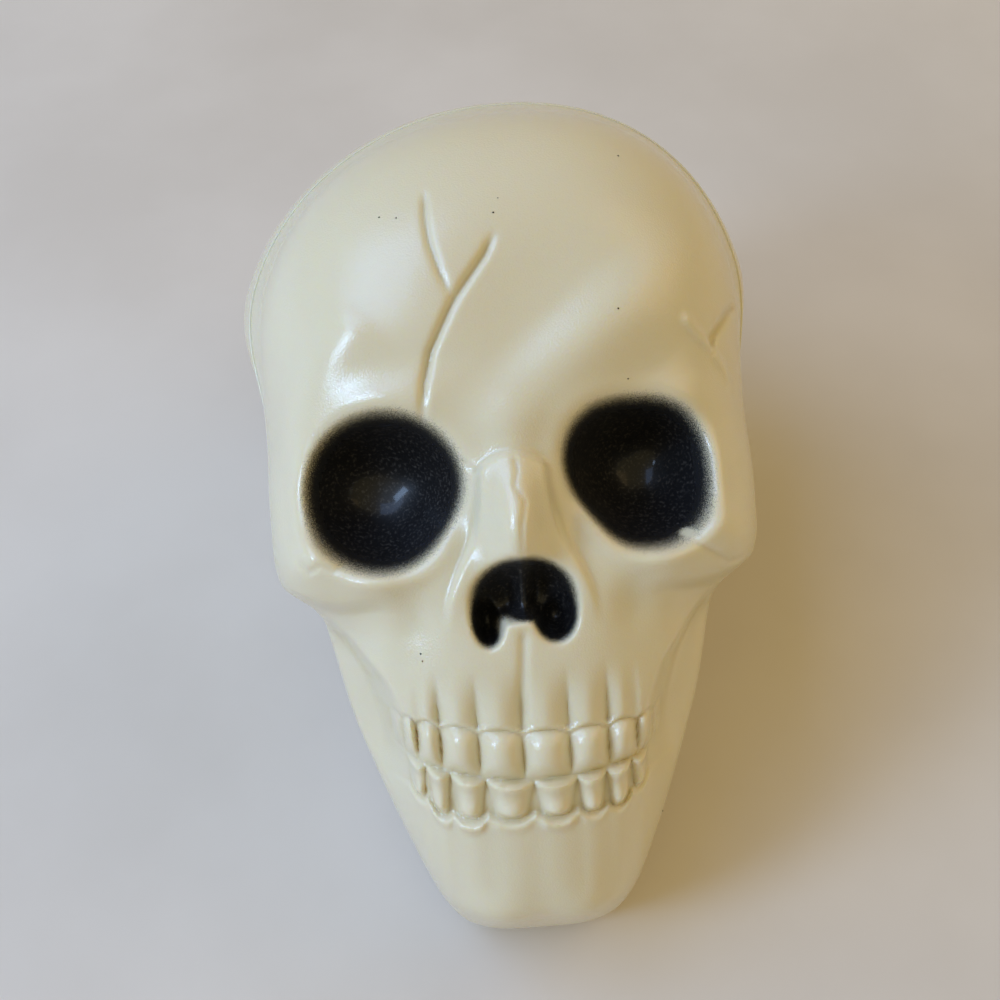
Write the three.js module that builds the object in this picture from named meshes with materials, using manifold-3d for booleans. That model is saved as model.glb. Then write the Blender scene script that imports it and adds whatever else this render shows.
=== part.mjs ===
// Hollow moulded skull ornament. A face half and a back half meet at a lap seam that runs round the outline,
// a thin coat of black paint lines each eye socket and the nose, and a push-in plug closes the moulding hole
// under the cranium. Millimetres.
// Every piece is drawn in the mould frame: x across the face, y from the face (minus) to the back (plus),
// z from chin to crown, with the seam in the plane y = 0. The whole skull is then leaned back until it rests
// on its chin and on the back of its head, as it does when it is put down on a table.
import * as THREE from "three";
import { mergeVertices } from "three/addons/utils/BufferGeometryUtils.js";
import Module from "manifold-3d";

const wasm = await Module();
wasm.setup();

// Outline of the skull, seen along y: full widths at the seam and the heights at which they are reached
const HEIGHT = 161;
const CRANIUM_WIDTH = 94.2;
const CRANIUM_WIDEST_AT = 116;
const CHEEK_WIDTH = 92.4;
const CHEEK_AT = 82;
const CHEEK_EDGE_WIDTH = 89.8;
const CHEEK_EDGE_AT = 71.5;
const CHEEK_FOOT_WIDTH = 79.2;
const CHEEK_FOOT_AT = 66.5;
const RAMUS_WIDTH = 75.6;
const RAMUS_AT = 60;
const JAW_WIDTH = 65.8;
const JAW_AT = 41;
const CHIN_WIDTH = 42;
const CHIN_AT = 12;
const CHIN_EDGE_WIDTH = 31.2;
const CHIN_EDGE_AT = 3;
const CHIN_FLAT_WIDTH = 22;
const CROWN_OFFSET = 4.2;

// The cranium grows behind the seam, wider by a share and higher at the crown, between these places
const SWELL = 0.2;
const SWELL_START = -15.5;
const SWELL_FULL = 22;
const SWELL_FOOT_AT = 96;
const SWELL_TOP_AT = 130;
const CROWN_RISE = 10.2;

// Profile of the face on the centre line: distance in front of the seam
const FOREHEAD_DEPTH = 52;
const FOREHEAD_AT = 112;
const NASION_DEPTH = 47.5;
const NASION_AT = 92;
const MAXILLA_DEPTH = 46;
const MAXILLA_AT = 61;
const MOUTH_DEPTH = 43;
const MOUTH_AT = 45;
const LOWER_GUM_DEPTH = 39;
const LOWER_GUM_AT = 30;
const CHIN_DEPTH = 30;
const CHIN_TURN_DEPTH = 21;
const CHIN_TURN_AT = 6;
const CHIN_EDGE_DEPTH = 13.5;
const CHIN_FLAT_DEPTH = 5;

// Profile of the back on the centre line: distance behind the seam
const OCCIPUT_DEPTH = 75;
const OCCIPUT_AT = 108;
const NAPE_DEPTH = 63;
const NAPE_AT = 85;
const NECK_DEPTH = 44;
const NECK_AT = 65;
const THROAT_DEPTH = 13;
const THROAT_AT = 22;
const CHIN_BACK_DEPTH = 2;

// How square the level sections and the crown are: 2 is round, more is squarer
const CHIN_SQUARENESS = 2.4;
const JAW_SQUARENESS = 2.3;
const CHEEK_SQUARENESS = 3.1;
const FOREHEAD_SQUARENESS = 2.25;
const BACK_SQUARENESS = 2.2;
const CROWN_WIDTH_SQUARENESS = 2.1;
const CROWN_FACE_SQUARENESS = 1.97;
const CROWN_BACK_SQUARENESS = 2.2;

// Shell and its seam
const WALL = 2.4;
const CLEARANCE = 0.3;
const LIP_LENGTH = 3;
const LIP_THICKNESS = (WALL - CLEARANCE) / 2;
const LIP_ROOT = 2;
const REST_CUT = 1;

// Eye sockets: the skull's own right is at minus x. A flat lower side, towards the nose, cuts each outline.
// Its direction is an angle in degrees from straight across, and it lies cutAt away from the socket's middle.
const SOCKETS = {
  right: { x: -22.4, z: 87.6, width: 28, height: 27.2, cutAt: 14 },
  left: { x: 20.6, z: 87.9, width: 26.4, height: 26, cutAt: 9.6 },
};
const SOCKET_CUT_ANGLES = { right: -37, left: 218 };
const SOCKET_SQUARENESS = { right: 2.05, left: 2.5 };
const SOCKET_FLOOR_DEPTH = 28;
const SOCKET_RIM_DEPTH = 44.5;

// Nose: a dome with a flat floor and a deeper lobe at each side, so that a septum stands between them
const NOSE_X = -0.2;
const NOSE_DOME = { z: 68.6, width: 18.2, height: 14.6, cutAt: 4.3 };
const NOSE_DOME_FLOOR_DEPTH = 40;
const NOSE_LOBE = { x: 5.1, below: 3.4, width: 7.6, height: 9.4 };
const NOSE_FLOOR_DEPTH = 35;
const NOSE_RIM_DEPTH = 47;

// Walls of the sockets and the nose: how steep the bowl is, and how its rim flares
const WELL_STEEPNESS = 2.6;
const WELL_CORNER = 7;
const WELL_RINGS = [0.3, 0.55, 0.75, 0.9];
const RIM_FLARE = 1.05;
const RIM_FLARE_DEPTH = 4;
const MOUTH_FLARE = 1.1;
const MOUTH_FLARE_DEPTH = 12;

// Paint in the sockets and the nose
const PAINT_FILM = 0.5;
const PAINT_EDGE = 2.6;

// Teeth: where each one ends across the mouth, and the gum and bite lines. Each line is lowest at its own x
// and rises by its rise over half the width of the mouth.
const UPPER_TOOTH_ENDS = [-22.7, -20.1, -16, -9.5, -2, 6, 12.8, 18, 21.8];
const LOWER_TOOTH_ENDS = [-21.9, -19.1, -14.9, -8.8, -0.6, 6.9, 12.1, 16.8, 20.5];
const MOUTH_X = -0.8;
const MOUTH_HALF_WIDTH = 22.8;
const UPPER_GUM_LINE = { x: 5, z: 45.6, rise: 2.3 };
const BITE_LINE = { x: 1.5, z: 37.1, rise: 3.9 };
const LOWER_GUM_LINE = { x: MOUTH_X, z: 30, rise: 1.8 };
const TOOTH_GAP = 0.5;
const TOOTH_CORNER = 1.3;
const TOOTH_BEVEL = 0.7;
const TEETH_RECESS = 1.4;
const UPPER_TOOTH_PROUD = 1.6;
const LOWER_TOOTH_PROUD = 1.4;
const TOOTH_ROOTING = 1.5;
const ROOT_RIDGE_REACH = 16;
const ROOT_RIDGE_HEIGHT = 14;
const ROOT_RIDGE_PROUD = 0.6;
const ROOT_RIDGE_ROOTING = 2;
const ROOT_RIDGE_OVERLAP = 1;

// Soft swellings and hollows of the face, at these places across it
const RELIEFS = {
  rightBrow: { places: [-20], at: 102.5, across: 11, up: 3.8, rise: 3 },
  leftBrow: { places: [22], at: 100.5, across: 9, up: 3, rise: 1.6 },
  aboveRightBrow: { places: [-18], at: 109.5, across: 12, up: 3.5, rise: -0.8 },
  aboveLeftBrow: { places: [24], at: 107, across: 9, up: 5, rise: -1.8 },
  foreheadBosses: { places: [-30, 30], at: 112, across: 10, up: 9, rise: 1.2 },
  glabella: { places: [0], at: 98, across: 6, up: 4.5, rise: 1.2 },
  nasalBridge: { places: [-0.5], at: 81, across: 5, up: 10, rise: 7.2 },
  innerSocketCorners: { places: [-9.6, 9.6], at: 84, across: 2.6, up: 7, rise: -1.4 },
  cheekbones: { places: [-37, 37], at: 77, across: 6.5, up: 5.5, rise: 4.5 },
  lowerSocketRims: { places: [-25, 25], at: 73, across: 6, up: 2.6, rise: 1.6 },
  underCheekbones: { places: [-34, 34], at: 61, across: 5, up: 6, rise: -3 },
  besideNose: { places: [-19, 19], at: 66, across: 4, up: 5, rise: -1.6 },
  temples: { places: [-44, 44], at: 98, across: 5, up: 9, rise: -3.5 },
  chinCorners: { places: [-8, 8], at: 9, across: 6, up: 6, rise: 2 },
};
const RELIEF_FADE = 10;

// The dent in the forehead lies aslant, with its steep side towards the left brow
const DENT = { x: 6, z: 116, long: 19, steep: 8, easy: 15, depth: 4.2 };
const DENT_ANGLE = 33;

// Below its lower edge each cheekbone falls away by this step, more and more towards the side of the face
const CHEEK_LEDGE_STEP = 2.4;
const CHEEK_LEDGE_DROP = 3;
const CHEEK_LEDGE_FOOT = 14;
const CHEEK_LEDGE_INSIDE = 19;
const CHEEK_LEDGE_OUTSIDE = 30;

// The muzzle: how far the sides of the jaws drop behind the front teeth, where that side wall starts to fall
// away from the middle of the mouth and how wide it is
const MUZZLE = [
  { at: CHIN_AT, drop: 0, start: 13, width: 18 },
  { at: LOWER_GUM_AT, drop: 6, start: 16, width: 14 },
  { at: JAW_AT, drop: 11.6, start: 18.3, width: 8.7 },
  { at: 54, drop: 12, start: 22.5, width: 7 },
  { at: 61, drop: 9, start: 28, width: 6.2 },
  { at: 68, drop: 0, start: 34, width: 6 },
];
const MUZZLE_FADE = 30;

// Plug under the cranium
const PLUG_AT = 42;
const PLUG_HEAD_DIAMETER = 16;
const PLUG_HEAD_THICKNESS = 1.6;
const PLUG_STEM_DIAMETER = 10;
const PLUG_STEM_LENGTH = 7;
const PLUG_BARB = 0.7;
const PLUG_BARB_LENGTH = 2;
const PLUG_BORE_DIAMETER = PLUG_STEM_DIAMETER + 2 * CLEARANCE;
const PLUG_BOSS_WALL = 2.4;
const PLUG_BOSS_DEPTH = PLUG_STEM_LENGTH - PLUG_BARB_LENGTH - 2 * CLEARANCE;

// Facets
const FACE_COLUMNS = 32;
const BACK_COLUMNS = 18;
const ROW_SPACING = 5.5;
const CROWN_ROWS = 8;
const CROWN_STEEPEST = (Math.PI / 2) * 0.985;
const WELL_SIDES = 20;
const ROUND_SIDES = 20;
const MOUTH_STEPS = 8;
const RIDGE_SIDES = 10;
const RIDGE_ROWS = 6;
const FACE_STEP = 0.25;
const REST_STEP = 0.5;
const WELD = 1e-4;
const INNER_FACETS = 0.6;
const SLIVER = 0.02;
const FAR = 2 * HEIGHT;

// Looks
const BONE_PLASTIC = { color: 0xded8bd, roughness: 0.38, metalness: 0 };
const BLACK_PAINT = { color: 0x0d0c0c, roughness: 0.22, metalness: 0 };

// A smooth curve through [height, value] stations, as a function of height
function profile(stations) {
  const slopeAt = (i) => {
    const before = stations[Math.max(i - 1, 0)];
    const after = stations[Math.min(i + 1, stations.length - 1)];
    return (after[1] - before[1]) / (after[0] - before[0]);
  };
  return (height) => {
    let i = 0;
    while (i < stations.length - 2 && height > stations[i + 1][0]) i += 1;
    const [z0, v0] = stations[i];
    const [z1, v1] = stations[i + 1];
    const span = z1 - z0;
    const t = THREE.MathUtils.clamp((height - z0) / span, 0, 1);
    const endSlope = i === stations.length - 2 ? 0 : slopeAt(i + 1);
    const tangents = (t ** 3 - 2 * t ** 2 + t) * slopeAt(i) + (t ** 3 - t ** 2) * endSlope;
    return (2 * t ** 3 - 3 * t ** 2 + 1) * v0 + (3 * t ** 2 - 2 * t ** 3) * v1 + span * tangents;
  };
}

// A profile below its widest station, and a round crown from there to the top
function crowned(stations, squareness) {
  const below = profile(stations);
  const [widestAt, widest] = stations.at(-1);
  return (height) => {
    if (height <= widestAt) return below(height);
    const t = Math.min((height - widestAt) / (HEIGHT - widestAt), 1);
    return widest * (1 - t ** squareness) ** (1 / squareness);
  };
}

const halfWidth = crowned(
  [
    [0, CHIN_FLAT_WIDTH / 2],
    [CHIN_EDGE_AT, CHIN_EDGE_WIDTH / 2],
    [CHIN_AT, CHIN_WIDTH / 2],
    [JAW_AT, JAW_WIDTH / 2],
    [RAMUS_AT, RAMUS_WIDTH / 2],
    [CHEEK_FOOT_AT, CHEEK_FOOT_WIDTH / 2],
    [CHEEK_EDGE_AT, CHEEK_EDGE_WIDTH / 2],
    [CHEEK_AT, CHEEK_WIDTH / 2],
    [CRANIUM_WIDEST_AT, CRANIUM_WIDTH / 2],
  ],
  CROWN_WIDTH_SQUARENESS,
);
const faceDepth = crowned(
  [
    [0, CHIN_FLAT_DEPTH],
    [CHIN_EDGE_AT, CHIN_EDGE_DEPTH],
    [CHIN_TURN_AT, CHIN_TURN_DEPTH],
    [CHIN_AT, CHIN_DEPTH],
    [LOWER_GUM_AT, LOWER_GUM_DEPTH],
    [MOUTH_AT, MOUTH_DEPTH],
    [MAXILLA_AT, MAXILLA_DEPTH],
    [NASION_AT, NASION_DEPTH],
    [FOREHEAD_AT, FOREHEAD_DEPTH],
  ],
  CROWN_FACE_SQUARENESS,
);
const backDepth = crowned(
  [
    [0, CHIN_BACK_DEPTH],
    [THROAT_AT, THROAT_DEPTH],
    [NECK_AT, NECK_DEPTH],
    [NAPE_AT, NAPE_DEPTH],
    [OCCIPUT_AT, OCCIPUT_DEPTH],
  ],
  CROWN_BACK_SQUARENESS,
);
const faceSquareness = profile([
  [0, CHIN_SQUARENESS],
  [JAW_AT, JAW_SQUARENESS],
  [CHEEK_AT, CHEEK_SQUARENESS],
  [FOREHEAD_AT, FOREHEAD_SQUARENESS],
]);

// A smooth step down from 1 to 0 as the value passes from low to high
const fallen = (value, low, high) => 1 - THREE.MathUtils.smoothstep(value, low, high);

function dent(x, z) {
  const turn = THREE.MathUtils.degToRad(DENT_ANGLE);
  const [dx, dz] = [x - DENT.x, z - DENT.z];
  const along = dx * Math.cos(turn) + dz * Math.sin(turn);
  const aside = dz * Math.cos(turn) - dx * Math.sin(turn);
  const across = aside < 0 ? DENT.steep : DENT.easy;
  return DENT.depth * Math.exp(-((along / DENT.long) ** 2) - (aside / across) ** 2);
}

function cheekLedge(x, z) {
  const below = fallen(z, CHEEK_EDGE_AT - CHEEK_LEDGE_DROP, CHEEK_EDGE_AT);
  const aboveFoot = 1 - fallen(z, CHEEK_EDGE_AT - CHEEK_LEDGE_FOOT, CHEEK_FOOT_AT);
  const aside = 1 - fallen(Math.abs(x), CHEEK_LEDGE_INSIDE, CHEEK_LEDGE_OUTSIDE);
  return CHEEK_LEDGE_STEP * below * aboveFoot * aside;
}

function relief(x, z) {
  let height = -dent(x, z) - cheekLedge(x, z);
  for (const { places, at, across, up, rise } of Object.values(RELIEFS)) {
    for (const centre of places) {
      height += rise * Math.exp(-(((x - centre) / across) ** 2) - ((z - at) / up) ** 2);
    }
  }
  return height;
}

const muzzleCurve = (key) => profile(MUZZLE.map((station) => [station.at, station[key]]));
const [muzzleDrop, muzzleStart, muzzleWidth] = ["drop", "start", "width"].map(muzzleCurve);

function muzzle(x, z) {
  const beyond = Math.abs(x - MOUTH_X) - muzzleStart(z);
  return muzzleDrop(z) * THREE.MathUtils.smoothstep(beyond, 0, muzzleWidth(z));
}

// How far the moulded shapes raise the bare face at (x, z), where it lies at this depth in front of the seam
function carving(x, z, depth) {
  const raised = THREE.MathUtils.smoothstep(depth, 0, RELIEF_FADE) * relief(x, z);
  return raised - THREE.MathUtils.smoothstep(depth, 0, MUZZLE_FADE) * muzzle(x, z);
}

// The swelling behind the seam and the crown's offset, for a point of the skin
function swollen(x, y, z) {
  const behind = THREE.MathUtils.smoothstep(y, SWELL_START, SWELL_FULL);
  const above = THREE.MathUtils.smoothstep(z, SWELL_FOOT_AT, SWELL_TOP_AT);
  const upCrown = Math.max((z - CRANIUM_WIDEST_AT) / (HEIGHT - CRANIUM_WIDEST_AT), 0);
  const across = x * (1 + SWELL * behind * above) + CROWN_OFFSET * upCrown ** 2;
  return new THREE.Vector3(across, y, z + CROWN_RISE * behind * upCrown);
}

// A point on the skull's skin. Angle 0 lies on the seam at the skull's right, 90 degrees on the centre line
// of the face, 180 degrees on the seam at its left and 270 degrees on the centre line of the back.
function skinPoint(z, angle, inset) {
  const reach = (HEIGHT - 2 * inset) / HEIGHT;
  const drawnAt = (z - inset) / reach;
  const onFace = Math.sin(angle) >= 0;
  const power = onFace ? faceSquareness(drawnAt) : BACK_SQUARENESS;
  const [c, s] = [Math.cos(angle), Math.sin(angle)];
  const radius = (Math.abs(c) ** power + Math.abs(s) ** power) ** (-1 / power);
  const [acrossShare, depthShare] = [-c * radius, Math.abs(s) * radius];
  const width = halfWidth(drawnAt);
  const reached = (onFace ? faceDepth : backDepth)(drawnAt);
  const x = acrossShare * Math.max(width - inset, 0);
  const depth = depthShare * Math.max(reached - inset, 0);
  if (!onFace) return swollen(x, depth, z);
  return swollen(x, -depth - carving(acrossShare * width, drawnAt, depthShare * reached), z);
}

// Distance in front of the seam of the moulded face at (x, z)
function faceAt(x, z) {
  const share = Math.min(Math.abs(x) / halfWidth(z), 1);
  const squareness = faceSquareness(z);
  const depth = faceDepth(z) * (1 - share ** squareness) ** (1 / squareness);
  return depth + carving(x, z, depth);
}

// A closed geometry through rings of equal point counts, closed by a fan at each end
function loft(rings) {
  const sides = rings[0].length;
  const centre = (ring) => ring.reduce((sum, p) => sum.add(p), new THREE.Vector3()).divideScalar(sides);
  const points = [...rings.flat(), centre(rings[0]), centre(rings.at(-1))];
  const first = rings.length * sides;
  const lastRow = (rings.length - 1) * sides;
  const triangles = [];
  for (let i = 0; i < sides; i += 1) {
    const j = (i + 1) % sides;
    triangles.push(first, j, i, first + 1, lastRow + i, lastRow + j);
    for (let row = 0; row < lastRow; row += sides) {
      triangles.push(row + i, row + j, row + sides + i, row + j, row + sides + j, row + sides + i);
    }
  }
  return new THREE.BufferGeometry().setFromPoints(points).setIndex(triangles);
}

// A closed geometry as a solid that can be joined and cut
function solid(geometry) {
  const bare = geometry.clone();
  bare.deleteAttribute("normal");
  bare.deleteAttribute("uv");
  const merged = mergeVertices(bare, WELD);
  const triVerts = new Uint32Array(merged.index.array);
  return new wasm.Manifold(
    new wasm.Mesh({ numProp: 3, vertProperties: merged.attributes.position.array, triVerts }),
  );
}

function box(low, high) {
  const size = high.map((h, i) => h - low[i]);
  const geometry = new THREE.BoxGeometry(...size);
  return solid(geometry.translate(...low.map((l, i) => l + size[i] / 2)));
}

// Heights of the level rows below the crown: every turn of the outline and the face, evenly filled between
function bodyRows(spacing) {
  const turns = [0, CHIN_EDGE_AT, CHIN_TURN_AT, CHIN_AT, LOWER_GUM_AT, JAW_AT, MOUTH_AT, RAMUS_AT];
  turns.push(CHEEK_FOOT_AT, CHEEK_EDGE_AT, CHEEK_AT, NASION_AT, FOREHEAD_AT, CRANIUM_WIDEST_AT);
  const rows = [0];
  for (let i = 1; i < turns.length; i += 1) {
    const gap = turns[i] - turns[i - 1];
    const steps = Math.max(Math.round(gap / spacing), 1);
    for (let step = 1; step <= steps; step += 1) rows.push(turns[i - 1] + (gap * step) / steps);
  }
  return rows;
}

// The skull as a plain closed form, drawn in from the outside by the inset
function skullForm(inset, share = 1) {
  const [faceColumns, backColumns, crownRows] = [FACE_COLUMNS, BACK_COLUMNS, CROWN_ROWS].map((n) =>
    Math.round(n * share),
  );
  const angles = [];
  for (let i = 0; i < faceColumns; i += 1) angles.push((Math.PI * i) / faceColumns);
  for (let i = 0; i < backColumns; i += 1) angles.push(Math.PI * (1 + i / backColumns));
  const body = (CRANIUM_WIDEST_AT - inset) / CRANIUM_WIDEST_AT;
  const heights = bodyRows(ROW_SPACING / share).map((z) => inset + z * body);
  const crown = HEIGHT - inset - CRANIUM_WIDEST_AT;
  for (let i = 1; i <= crownRows; i += 1) {
    heights.push(CRANIUM_WIDEST_AT + crown * Math.sin((CROWN_STEEPEST * i) / crownRows));
  }
  return solid(loft(heights.map((z) => angles.map((a) => skinPoint(z, a, inset)))));
}

// The same form for faces inside the shell, which need fewer facets
const innerForm = (inset) => skullForm(inset, INNER_FACETS);

// A bowl that opens towards the front, with a rounded floor, steep walls and a flared rim
function well({ x, z, width, height, squareness, cutAngle, cutAt, floor, rim }, grow) {
  const cutTurn = THREE.MathUtils.degToRad(cutAngle);
  const [cutAcross, cutUp] = [Math.cos(cutTurn), Math.sin(cutTurn)];
  const ringAt = (share, depth) => {
    const ring = [];
    for (let i = 0; i < WELL_SIDES; i += 1) {
      const angle = (2 * Math.PI * i) / WELL_SIDES;
      const reach = (part, size) => Math.sign(part) * Math.abs(part) ** (2 / squareness) * (size / 2 + grow);
      const across = reach(Math.cos(angle), width);
      const up = reach(Math.sin(angle), height);
      const beyond = Math.max((across * cutAcross + up * cutUp) / (cutAt + grow), 0);
      const kept = share / (1 + beyond ** WELL_CORNER) ** (1 / WELL_CORNER);
      ring.push(new THREE.Vector3(x + kept * across, -depth, z + kept * up));
    }
    return ring;
  };
  const depthAt = (share) => floor - grow + (rim - floor) * share ** WELL_STEEPNESS;
  const rings = WELL_RINGS.map((share) => ringAt(share, depthAt(share)));
  rings.push(ringAt(1, rim), ringAt(RIM_FLARE, rim + RIM_FLARE_DEPTH));
  rings.push(ringAt(MOUTH_FLARE, rim + MOUTH_FLARE_DEPTH), ringAt(MOUTH_FLARE, FAR));
  return solid(loft(rings));
}

const socketWells = Object.fromEntries(
  Object.entries(SOCKETS).map(([side, socket]) => {
    const [cutAngle, squareness] = [SOCKET_CUT_ANGLES[side], SOCKET_SQUARENESS[side]];
    const bowl = { ...socket, cutAngle, squareness, floor: SOCKET_FLOOR_DEPTH, rim: SOCKET_RIM_DEPTH };
    return [side, (grow) => well(bowl, grow)];
  }),
);

function noseWell(grow) {
  const round = { squareness: 2, cutAngle: -90, rim: NOSE_RIM_DEPTH };
  const dome = { ...round, ...NOSE_DOME, x: NOSE_X, floor: NOSE_DOME_FLOOR_DEPTH };
  const lobe = (side) => ({
    ...round,
    ...NOSE_LOBE,
    x: NOSE_X + side * NOSE_LOBE.x,
    z: NOSE_DOME.z - NOSE_LOBE.below,
    cutAt: NOSE_LOBE.height,
    floor: NOSE_FLOOR_DEPTH,
  });
  return [dome, lobe(-1), lobe(1)].map((bowl) => well(bowl, grow)).reduce((a, b) => a.add(b));
}

const wells = (grow) => [socketWells.right(grow), socketWells.left(grow), noseWell(grow)];

// The place on the moulded face at (x, z) and the direction that it looks there, turned from straight ahead
function facing(x, z) {
  const slope = (faceAt(x + FACE_STEP, z) - faceAt(x - FACE_STEP, z)) / (2 * FACE_STEP);
  return { depth: faceAt(x, z), turn: -Math.atan(slope) };
}

// Heights of the lines across the mouth
const mouthLine = (line) => (x) => line.z + line.rise * ((x - line.x) / MOUTH_HALF_WIDTH) ** 2;
const [upperGum, bite, lowerGum] = [UPPER_GUM_LINE, BITE_LINE, LOWER_GUM_LINE].map(mouthLine);

// One tooth: a rounded block with softened edges, standing out of the recessed gum
function tooth(from, to, lowLine, highLine, proud) {
  const x = (from + to) / 2;
  const [low, high] = [lowLine(x), highLine(x)];
  const middle = (low + high) / 2;
  const { depth, turn } = facing(x, middle);
  const w = (to - from) / Math.cos(turn) - TOOTH_GAP - 2 * TOOTH_BEVEL;
  const h = high - low - TOOTH_GAP - 2 * TOOTH_BEVEL;
  const corner = Math.min(TOOTH_CORNER, w / 3, h / 3);
  const outline = new THREE.Shape();
  outline.moveTo(-w / 2 + corner, -h / 2);
  outline.lineTo(w / 2 - corner, -h / 2);
  outline.quadraticCurveTo(w / 2, -h / 2, w / 2, -h / 2 + corner);
  outline.lineTo(w / 2, h / 2 - corner);
  outline.quadraticCurveTo(w / 2, h / 2, w / 2 - corner, h / 2);
  outline.lineTo(-w / 2 + corner, h / 2);
  outline.quadraticCurveTo(-w / 2, h / 2, -w / 2, h / 2 - corner);
  outline.lineTo(-w / 2, -h / 2 + corner);
  outline.quadraticCurveTo(-w / 2, -h / 2, -w / 2 + corner, -h / 2);
  const block = new THREE.ExtrudeGeometry(outline, {
    depth: TOOTH_ROOTING + proud - TOOTH_BEVEL,
    bevelSize: TOOTH_BEVEL,
    bevelThickness: TOOTH_BEVEL,
    bevelSegments: 1,
    curveSegments: 2,
  });
  block.translate(0, 0, -TEETH_RECESS - TOOTH_ROOTING);
  block.rotateX(Math.PI / 2);
  block.rotateZ(turn);
  return solid(block.translate(x, -depth, middle));
}

const toothRow = (ends, lowLine, highLine, proud) =>
  ends.slice(1).map((end, i) => tooth(ends[i], end, lowLine, highLine, proud));

// The swellings of the front teeth's roots above the gum line
function rootRidges() {
  const ridges = [];
  UPPER_TOOTH_ENDS.slice(1).forEach((to, i) => {
    const from = UPPER_TOOTH_ENDS[i];
    const x = (from + to) / 2;
    if (Math.abs(x) > ROOT_RIDGE_REACH) return;
    const middle = upperGum(x) + ROOT_RIDGE_HEIGHT / 2 - ROOT_RIDGE_OVERLAP;
    const { depth, turn } = facing(x, middle);
    const ridge = new THREE.SphereGeometry(1, RIDGE_SIDES, RIDGE_ROWS);
    const halfWide = (to - from - TOOTH_GAP) / 2;
    ridge.scale(halfWide, ROOT_RIDGE_PROUD + ROOT_RIDGE_ROOTING, ROOT_RIDGE_HEIGHT / 2);
    ridge.rotateZ(turn);
    ridges.push(solid(ridge.translate(x, -depth + ROOT_RIDGE_ROOTING, middle)));
  });
  return ridges;
}

// A block through the face over the whole mouth, between the gum lines and wider by the margin all round
function mouthBlock(margin) {
  const reach = MOUTH_HALF_WIDTH + margin;
  const across = [];
  for (let i = 0; i <= MOUTH_STEPS; i += 1) {
    across.push(MOUTH_X + THREE.MathUtils.lerp(-reach, reach, i / MOUTH_STEPS));
  }
  const below = across.map((x) => new THREE.Vector2(x, lowerGum(x) - margin));
  const above = across.map((x) => new THREE.Vector2(x, upperGum(x) + margin));
  const outline = new THREE.Shape([...below, ...above.reverse()]);
  const block = new THREE.ExtrudeGeometry(outline, { depth: FAR, bevelEnabled: false });
  return solid(block.rotateX(Math.PI / 2));
}

// The plane that the skull rests on: it touches the chin's back edge and the back of the head
function restSlope() {
  let steepest = 0;
  for (let z = CHIN_AT; z < HEIGHT; z += REST_STEP) {
    steepest = Math.max(steepest, (backDepth(z) - CHIN_BACK_DEPTH) / z);
  }
  return steepest;
}
const LEAN = Math.atan(restSlope());

// Everything on the skull's side of a plane parallel to the rest plane and lifted off it
function aboveTable(lift) {
  const room = new THREE.BoxGeometry(FAR, FAR, FAR).translate(0, 0, FAR / 2 + lift);
  room.rotateX(Math.PI / 2 - LEAN);
  return solid(room.translate(0, CHIN_BACK_DEPTH, 0));
}

// Frame of the plug: its z axis points straight out of the shell, from the middle of the bore's mouth
function plugFrame() {
  const rise = (backDepth(PLUG_AT + FACE_STEP) - backDepth(PLUG_AT - FACE_STEP)) / (2 * FACE_STEP);
  const out = new THREE.Vector3(0, 1, -rise).normalize();
  const turn = new THREE.Quaternion().setFromUnitVectors(new THREE.Vector3(0, 0, 1), out);
  const mouth = new THREE.Vector3(0, backDepth(PLUG_AT), PLUG_AT);
  return new THREE.Matrix4().compose(mouth, turn, new THREE.Vector3(1, 1, 1));
}
const PLUG_FRAME = plugFrame();
const PLUG_SUNK = PLUG_HEAD_THICKNESS + 2 * CLEARANCE;

// A round bar along the plug's axis
function plugBar(diameter, low, high) {
  const bar = new THREE.CylinderGeometry(diameter / 2, diameter / 2, high - low, ROUND_SIDES);
  bar.rotateX(Math.PI / 2).translate(0, 0, (low + high) / 2);
  return solid(bar.applyMatrix4(PLUG_FRAME));
}

// The plug is turned about its axis: a flat head, a stem and a barb that snaps behind the boss
function plugForm() {
  const head = PLUG_HEAD_DIAMETER / 2;
  const stem = PLUG_STEM_DIAMETER / 2;
  const seat = -PLUG_SUNK + CLEARANCE;
  const tip = seat - PLUG_STEM_LENGTH;
  const barb = tip + PLUG_BARB_LENGTH;
  const outline = [
    [0, tip],
    [stem - PLUG_BARB, tip],
    [stem + PLUG_BARB, barb],
    [stem, barb],
    [stem, seat],
    [head, seat],
    [head, seat + PLUG_HEAD_THICKNESS],
    [0, seat + PLUG_HEAD_THICKNESS],
  ].map(([r, along]) => new THREE.Vector2(r, along));
  const turned = new THREE.LatheGeometry(outline, ROUND_SIDES).rotateX(Math.PI / 2);
  return solid(turned.applyMatrix4(PLUG_FRAME));
}

// The outside of the skull with its sockets, nose and teeth, and the hollow inside it
const form = skullForm(0);
let outside = form.subtract(mouthBlock(TOOTH_GAP).subtract(skullForm(TEETH_RECESS)));
for (const piece of [
  ...toothRow(UPPER_TOOTH_ENDS, bite, upperGum, UPPER_TOOTH_PROUD),
  ...toothRow(LOWER_TOOTH_ENDS, lowerGum, bite, LOWER_TOOTH_PROUD),
  ...rootRidges(),
]) {
  outside = outside.add(piece);
}
for (const bowl of wells(0)) outside = outside.subtract(bowl);
outside = outside.intersect(aboveTable(REST_CUT));

let hollow = innerForm(WALL).intersect(aboveTable(REST_CUT + WALL));
hollow = hollow.subtract(mouthBlock(WALL).subtract(innerForm(WALL + TEETH_RECESS)));
for (const bowl of wells(WALL)) hollow = hollow.subtract(bowl);
const shell = outside.subtract(hollow);

const inFront = box([-FAR, -FAR, -FAR], [FAR, -CLEARANCE / 2, FAR]);
const behind = box([-FAR, CLEARANCE / 2, -FAR], [FAR, FAR, FAR]);

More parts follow.
